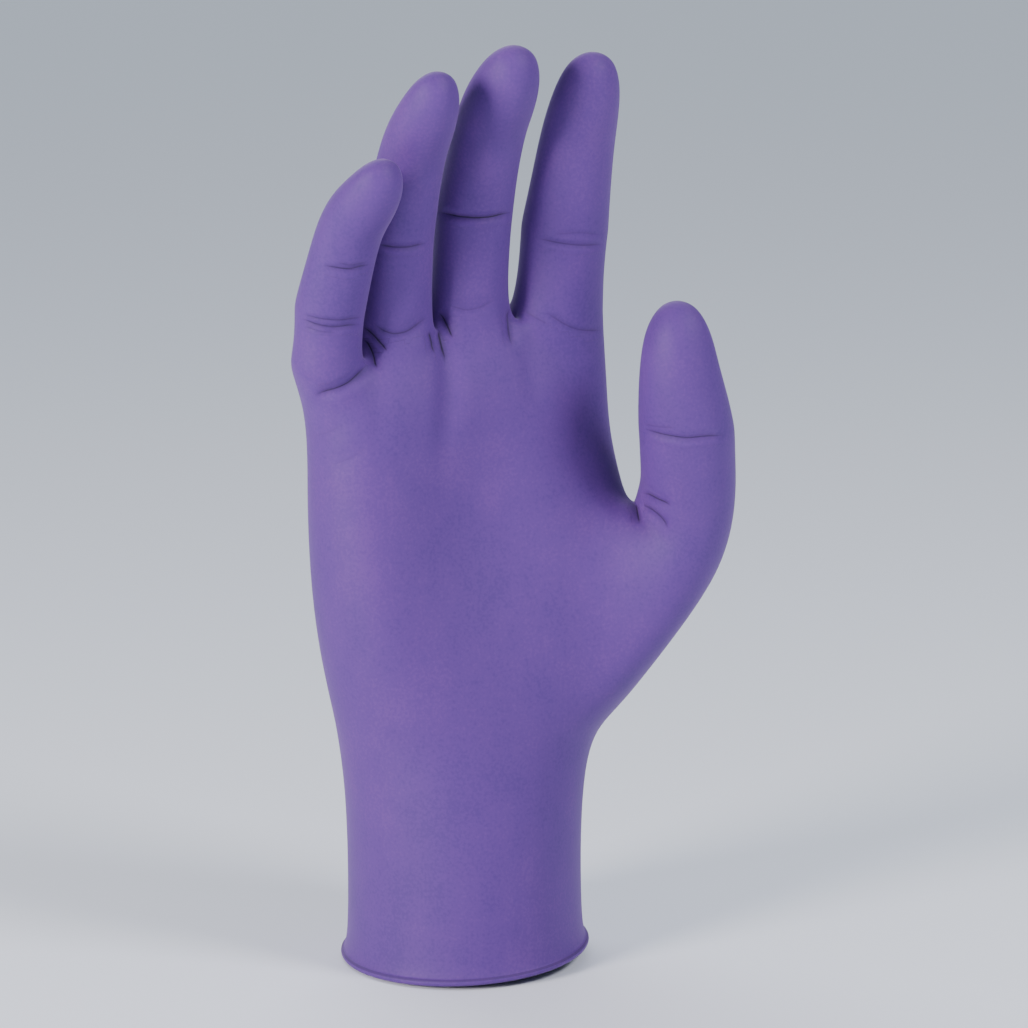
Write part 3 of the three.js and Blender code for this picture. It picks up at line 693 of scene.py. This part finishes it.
def rolled_bead(rim_points, outward):
    """Rows round the bead from its top to the inside: centre plus radius times cosine outwards and sine upwards."""
    up = np.array([0, 0, 1.0])
    centre = rim_points + outward * (BEAD / 2 - FILM) - up * BEAD / 2
    angle = np.linspace(np.pi / 2, -np.pi, BEAD_STEPS + 1)[1:, None, None]
    return centre + BEAD / 2 * (outward * np.cos(angle) + up * np.sin(angle))


inner -= normals_of(inner, inner_faces) * FILM
outer_rim, inner_rim = open_edge(outer, outer_faces), open_edge(inner, inner_faces)
outward = skin_normals[outer_rim] * [1, 1, 0]
outward /= np.linalg.norm(outward, axis=1, keepdims=True)
bead_rows = rolled_bead(outer[outer_rim], outward)
print("bead:", bead_rows.shape[0], "rows of", bead_rows.shape[1], "points")

# %% Join outside, bead and inside
# Points are numbered in one row: first the outside, then the bead row by row, then the inside.
ring_size = len(outer_rim)
first_bead = len(outer)
first_inner = first_bead + bead_rows.shape[0] * ring_size
all_points = np.concatenate([outer, bead_rows.reshape(-1, 3), inner])
ring_numbers = [outer_rim] + [first_bead + k * ring_size + np.arange(ring_size) for k in range(BEAD_STEPS)]
bead_faces = np.concatenate([
    np.stack([a, b, np.roll(b, -1), np.roll(a, -1)], 1) for a, b in zip(ring_numbers[:-1], ring_numbers[1:])])
# Each edge of the inner rim meets two edges of the bead's last row.
last, inside = ring_numbers[-1], first_inner + inner_rim
start = int(np.argmin(np.linalg.norm(all_points[last] - all_points[inside[0]], axis=1)))
last = np.roll(last, -start)
even, odd, then = last[::2], last[1::2], np.roll(last[::2], -1)
joint_triangles = np.concatenate([
    np.stack([even, inside, odd], 1), np.stack([odd, inside, np.roll(inside, -1)], 1),
    np.stack([odd, np.roll(inside, -1), then], 1)])
all_quads = np.concatenate([outer_faces, bead_faces, inner_faces[:, ::-1] + first_inner])
print(len(all_quads), "four-sided faces and", len(joint_triangles), "triangles")

# %% Is the skin closed?
sides = np.concatenate([np.stack([f, np.roll(f, -1, 1)], -1).reshape(-1, 2) for f in (all_quads, joint_triangles)])
_, faces_per_edge = np.unique(np.sort(sides, 1), axis=0, return_counts=True)
print("edges without two faces:", int((faces_per_edge != 2).sum()))
print("sides that run the same way twice:", len(sides) - len(np.unique(sides, axis=0)))

# %% [markdown]
# ## The glove as a Blender mesh
#
# The arrays go into one mesh in metres. The fold lines travel with it as two attributes: the signed distances of the
# three layers, and how dark the painted shade of each layer is. The bead's first rows get a line of painted shade
# too, where it meets the cuff.

# %% Make the mesh
# How dark the painted shade is where the bead meets the cuff, and over how many of the bead's rows.
BEAD_PAINTED_SHADE, BEAD_PAINTED_SHADE_ROWS = 0.5, 3


def glove_mesh():
    """One closed mesh of the film, shaded smooth, with its fold layers stored as vector attributes."""
    mesh = bpy.data.meshes.new("exam_glove")
    mesh.from_pydata((all_points * MM).tolist(), [], all_quads.tolist() + joint_triangles.tolist())
    mesh.polygons.foreach_set("use_smooth", np.ones(len(mesh.polygons), bool))
    # Fold distances and the strength of the painted shade; the bead's first rows get painted shade of their own.
    layers = (("fold_offset", fold_offset, FAR, 0.0), ("fold_shade_strength", fold_shade_strength, 0.0, BEAD_PAINTED_SHADE))
    for name, values, rest, at_bead in layers:
        filler = np.full((len(all_points) - len(outer), LAYERS), rest)
        filler[:BEAD_PAINTED_SHADE_ROWS * ring_size, 0] = at_bead
        attribute = mesh.attributes.new(name, "FLOAT_VECTOR", "POINT")
        attribute.data.foreach_set("vector", np.concatenate([values, filler]).astype(np.float32).ravel())
    mesh.validate()
    mesh.update()
    return mesh


glove = bpy.data.objects.new("exam_glove", glove_mesh())
bpy.context.scene.collection.objects.link(glove)
print("glove:", len(glove.data.vertices), "points,", len(glove.data.polygons), "faces")

# %% [markdown]
# ## Nitrile
#
# Nitrile film is a dyed rubber with a powdery matt bloom. Its colour is a deep violet that turns milky lavender
# where light grazes it. Up close there is a fine orange-peel grain, and a slow mottling where the film dipped
# thicker or thinner. A Principled shader with a little sheen gives the bloom, and noise patterns give the rest.

# %% Helpers for material nodes


def node(tree, kind, inputs=None, **settings):
    """Adds a node, sets its properties, and fills or links its inputs by name or place."""
    made = tree.nodes.new(kind)
    for name, value in settings.items():
        setattr(made, name, value)
    for name, value in (inputs or {}).items():
        if isinstance(value, bpy.types.NodeSocket):
            tree.links.new(value, made.inputs[name])
        else:
            made.inputs[name].default_value = value
    return made


def sums(tree, operation, a, b=0.0, c=0.0):
    """One Math node; each of a, b and c is a number or an output."""
    return node(tree, "ShaderNodeMath", {0: a, 1: b, 2: c}, operation=operation).outputs[0]


def ramp(tree, value, stops):
    """A colour ramp that eases from stop to stop, each a place and a colour."""
    made = node(tree, "ShaderNodeValToRGB", {"Fac": value})
    made.color_ramp.interpolation = "EASE"
    elements = made.color_ramp.elements
    while len(elements) < len(stops):
        elements.new(0.5)
    for element, (spot, colour) in zip(elements, stops):
        element.position = spot
        element.color = (*colour, 1)
    return made.outputs["Color"]


def noise(tree, where, scale, detail=2.0, roughness=0.5):
    """A noise pattern's value from 0 to 1."""
    inputs = {"Vector": where, "Scale": scale, "Detail": detail, "Roughness": roughness}
    return node(tree, "ShaderNodeTexNoise", inputs).outputs["Fac"]


def near_line(tree, gap, reach):
    """One on the line, easing to zero where the gap is as wide as the reach."""
    inputs = {"Value": gap, "From Min": reach, "From Max": 0.0}
    return node(tree, "ShaderNodeMapRange", inputs, interpolation_type="SMOOTHSTEP").outputs[0]


print("helpers ready")

# %% Colour of the film
# Waves to a metre: 28 makes patches of 36 mm, and 1400 makes specks of 0.7 mm.
MOTTLE, PATCHES, STREAKS, SPECKLE = 28, 110, 240, 1400
BLUISH, VIOLET, PINKISH = (0.078, 0.031, 0.2), (0.095, 0.036, 0.222), (0.114, 0.042, 0.238)


def film_colour(tree, where, slow):
    """Mottling, smaller patches, upright dipping streaks and a fine speckle, each times its weight, on a ramp."""
    stretched = node(tree, "ShaderNodeMapping", {"Vector": where, "Scale": (1, 1, 0.08)}).outputs[0]
    streaks = noise(tree, stretched, STREAKS, 2)
    speckle = noise(tree, where, SPECKLE, 2)
    patches = noise(tree, where, PATCHES, 3, 0.6)
    blend = sums(tree, "MULTIPLY_ADD", streaks, 0.15, sums(tree, "MULTIPLY", slow, 0.55))
    blend = sums(tree, "MULTIPLY_ADD", patches, 0.3, blend)
    blend = sums(tree, "MULTIPLY_ADD", sums(tree, "SUBTRACT", speckle, 0.5), 0.6, blend)
    return ramp(tree, blend, [(0.3, BLUISH), (0.5, VIOLET), (0.7, PINKISH)])


print("violet from", BLUISH, "to", PINKISH)

# %% Painted shade in the folds
# How far the painted shade of the hairline and of the trough reaches from the line, in mm.
HAIRLINE, TROUGH = 0.32, 1.28


def fold_shade_lines(tree):
    """Painted shade in the folds, summed over the layers as nearness to the line times its strength: a thin dark
    hairline and a broad trough of shade.
    """
    offsets = node(tree, "ShaderNodeAttribute", attribute_name="fold_offset").outputs["Vector"]
    strengths = node(tree, "ShaderNodeAttribute", attribute_name="fold_shade_strength").outputs["Vector"]
    offset_parts = node(tree, "ShaderNodeSeparateXYZ", {"Vector": offsets}).outputs
    strength_parts = node(tree, "ShaderNodeSeparateXYZ", {"Vector": strengths}).outputs
    hairline_shade_and_groove, trough_shade = 0.0, 0.0
    for k in range(LAYERS):
        gap = sums(tree, "ABSOLUTE", offset_parts[k])
        hairline_shade_and_groove = sums(tree, "MULTIPLY_ADD", near_line(tree, gap, HAIRLINE), strength_parts[k], hairline_shade_and_groove)
        trough_shade = sums(tree, "MULTIPLY_ADD", near_line(tree, gap, TROUGH), strength_parts[k], trough_shade)
    return hairline_shade_and_groove, trough_shade


print("hairlines", HAIRLINE, "mm to each side")

# %% The nitrile material
# How dark the painted shade of a hairline and of its trough is, the darkest that both can be, and the colour of that
# painted shade.
HAIRLINE_PAINTED_SHADE, TROUGH_PAINTED_SHADE, DARKEST_PAINTED_SHADE = 0.5, 0.3, 0.92
PAINTED_FOLD_SHADE = (0.012, 0.006, 0.03, 1)
# Waves to a metre: 2600 makes grains of 0.4 mm, and 170 makes waves of 6 mm.
GRAIN, WAVE = 2600, 170


def nitrile_material():
    """Violet rubber: mottled colour, painted shade in the folds, fine grain as bump, soft sheen."""
    material = bpy.data.materials.new("nitrile")
    material.use_nodes = True
    tree = material.node_tree
    tree.nodes.clear()
    where = node(tree, "ShaderNodeTexCoord").outputs["Object"]
    slow = noise(tree, where, MOTTLE, 3)
    base = film_colour(tree, where, slow)

    # Painted shade in the folds darkens the colour. The Mix node keeps its two colours in sockets 6 and 7.
    hairline_shade_and_groove, trough_shade = fold_shade_lines(tree)
    painted_shade = sums(tree, "MULTIPLY_ADD", hairline_shade_and_groove, HAIRLINE_PAINTED_SHADE, sums(tree, "MULTIPLY", trough_shade, TROUGH_PAINTED_SHADE))
    painted_shade = node(tree, "ShaderNodeClamp", {"Value": painted_shade, "Max": DARKEST_PAINTED_SHADE}).outputs[0]
    colour = node(tree, "ShaderNodeMix", {0: painted_shade, 6: base, 7: PAINTED_FOLD_SHADE}, data_type="RGBA").outputs[2]

    # Bump: fine grain, a slow wave of uneven film, and the fold lines cut in.
    grain = noise(tree, where, GRAIN, 2)
    wave = noise(tree, where, WAVE, 2)
    height = sums(tree, "MULTIPLY_ADD", grain, 0.12, sums(tree, "MULTIPLY", wave, 0.35))
    height = sums(tree, "MULTIPLY_ADD", hairline_shade_and_groove, -0.5, height)
    bump = node(tree, "ShaderNodeBump", {"Height": height, "Strength": 0.55, "Distance": 0.0004}).outputs[0]
    rough = sums(tree, "MULTIPLY_ADD", slow, 0.12, 0.58)

    skin = node(tree, "ShaderNodeBsdfPrincipled", {
        "Base Color": colour, "Roughness": rough, "Normal": bump, "IOR": 1.52,
        "Specular IOR Level": 0.3, "Sheen Weight": 0.16, "Sheen Roughness": 0.4,
        "Sheen Tint": (0.9, 0.66, 1.0, 1), "Subsurface Weight": 0.04,
        "Subsurface Radius": (0.9, 0.5, 1.0), "Subsurface Scale": 0.0012})
    node(tree, "ShaderNodeOutputMaterial", {"Surface": skin.outputs[0]})
    return material


glove.data.materials.append(nitrile_material())
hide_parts("glove")
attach(glove, "root")
print("material:", glove.data.materials[0].name)

# %% [markdown]
# ## Floor, light and camera
#
# A pale floor reaches past the view on all sides. A large soft lamp stands far to the left, because the photograph
# shows the little finger's outer side lit and each finger in the shade of its neighbour. A cooler lamp in front and
# above lights the palm more than the fingers that bend down from it. A broad, weak sun from behind keeps the floor
# pale, and a dim sky fills the rest.

# %% Floor
# Half the floor's side and its distance under the rim, in mm.
FLOOR_HALF, FLOOR_GAP = 14000, 0.2


def make_floor():
    """A plain matt square just under the rim."""
    level = low_corner.z / MM - FLOOR_GAP
    corners = np.array([(-1, -1), (1, -1), (1, 1), (-1, 1)]) * FLOOR_HALF
    points = np.column_stack([corners, np.full(4, level)]) * MM
    mesh = bpy.data.meshes.new("floor")
    mesh.from_pydata(points.tolist(), [], [(0, 1, 2, 3)])
    material = bpy.data.materials.new("pale_floor")
    material.use_nodes = True
    shader = material.node_tree.nodes["Principled BSDF"]
    shader.inputs["Base Color"].default_value = (0.8, 0.84, 0.9, 1)
    shader.inputs["Roughness"].default_value = 0.9
    shader.inputs["Specular IOR Level"].default_value = 0.1
    mesh.materials.append(material)
    floor = bpy.data.objects.new("floor", mesh)
    bpy.context.scene.collection.objects.link(floor)
    return floor


make_floor()
print("floor", FLOOR_GAP, "mm under the rim")

# %% Lights
# Each row: name, where in mm from the glove's middle, size in mm, watts, colour.
LAMPS = [
    ("left", (-1080, -370, 330), 420, 19.5, (1.0, 0.92, 0.92)),
    ("front", (470, -740, 780), 420, 10, (0.95, 0.93, 1.0)),
]
GLOVE_MIDDLE = np.array([0, 0, 115.0])


def turned_to(direction):
    """The turn that points an object's own minus Z along a direction."""
    return Vector(direction).to_track_quat("-Z", "Y").to_euler()


for name, spot, size, watts, colour in LAMPS:
    light = bpy.data.lights.new(name, "AREA")
    light.shape, light.size = "DISK", size * MM
    light.energy, light.color = watts, colour
    lamp = bpy.data.objects.new(name, light)
    lamp.location = (np.array(spot) + GLOVE_MIDDLE) * MM
    lamp.rotation_euler = turned_to(-np.array(spot, float))
    bpy.context.scene.collection.objects.link(lamp)
print(len(LAMPS), "lamps")

# %% Sky and the glow from behind
SKY_COLOUR, SKY_STRENGTH = (0.72, 0.82, 1.0, 1), 0.3
# The sun's strength, its width in degrees, its colour and where it points.
GLOW_STRENGTH, GLOW_WIDTH, GLOW_COLOUR, GLOW_TOWARDS = 1.7, 60, (0.92, 0.96, 1.0), (-0.1, -0.72, -0.69)

world = bpy.data.worlds.new("pale_sky")
world.use_nodes = True
world.node_tree.nodes["Background"].inputs["Color"].default_value = SKY_COLOUR
world.node_tree.nodes["Background"].inputs["Strength"].default_value = SKY_STRENGTH
bpy.context.scene.world = world
sun = bpy.data.lights.new("sky_glow", "SUN")
sun.energy, sun.angle, sun.color = GLOW_STRENGTH, math.radians(GLOW_WIDTH), GLOW_COLOUR
glow = bpy.data.objects.new("sky_glow", sun)
glow.rotation_euler = turned_to(GLOW_TOWARDS)
bpy.context.scene.collection.objects.link(glow)
print("glow of", GLOW_STRENGTH, "W on each square metre")

# %% Camera
lens = bpy.data.cameras.new("camera")
lens.lens, lens.sensor_width, lens.clip_end = LENS, SENSOR, 100
camera = bpy.data.objects.new("camera", lens)
camera.location = eye * MM
camera.rotation_euler = turned_to(look)
bpy.context.scene.collection.objects.link(camera)
bpy.context.scene.camera = camera
print("camera at", np.round(eye * MM, 4))
